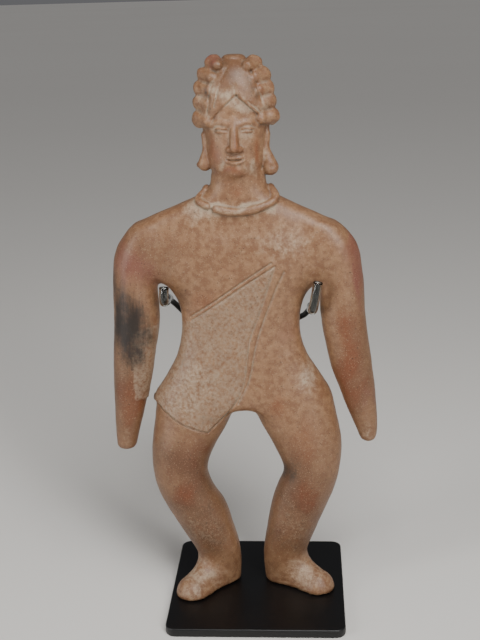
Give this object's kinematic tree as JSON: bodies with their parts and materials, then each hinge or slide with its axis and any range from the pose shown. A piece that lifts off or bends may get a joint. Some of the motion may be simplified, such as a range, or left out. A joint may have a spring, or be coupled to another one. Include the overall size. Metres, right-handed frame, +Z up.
{
  "type": "standing shaman figure",
  "caption": "Hand-modelled clay shaman figure standing on a display plate, held under the arms by bent rods with clear sleeves.",
  "frame": {"origin": "centre of the base plate's underside", "axes": "+Z up; the figure faces -Y; +X is to the viewer's right"},
  "size_m": [0.1477, 0.1, 0.31],
  "materials": {
    "fired_clay": "burnished low-fired clay with worn slip, fire clouds, pale deposits and fine dark specks",
    "black_painted_steel": "satin black paint",
    "clear_tubing": "clear soft plastic tubing"
  },
  "bodies": {
    "root": {"figure": "fired_clay", "base_plate": "black_painted_steel", "support_rod_left": "black_painted_steel", "support_rod_right": "black_painted_steel", "sleeve_left": "clear_tubing", "sleeve_right": "clear_tubing"}
  },
  "joints": []
}
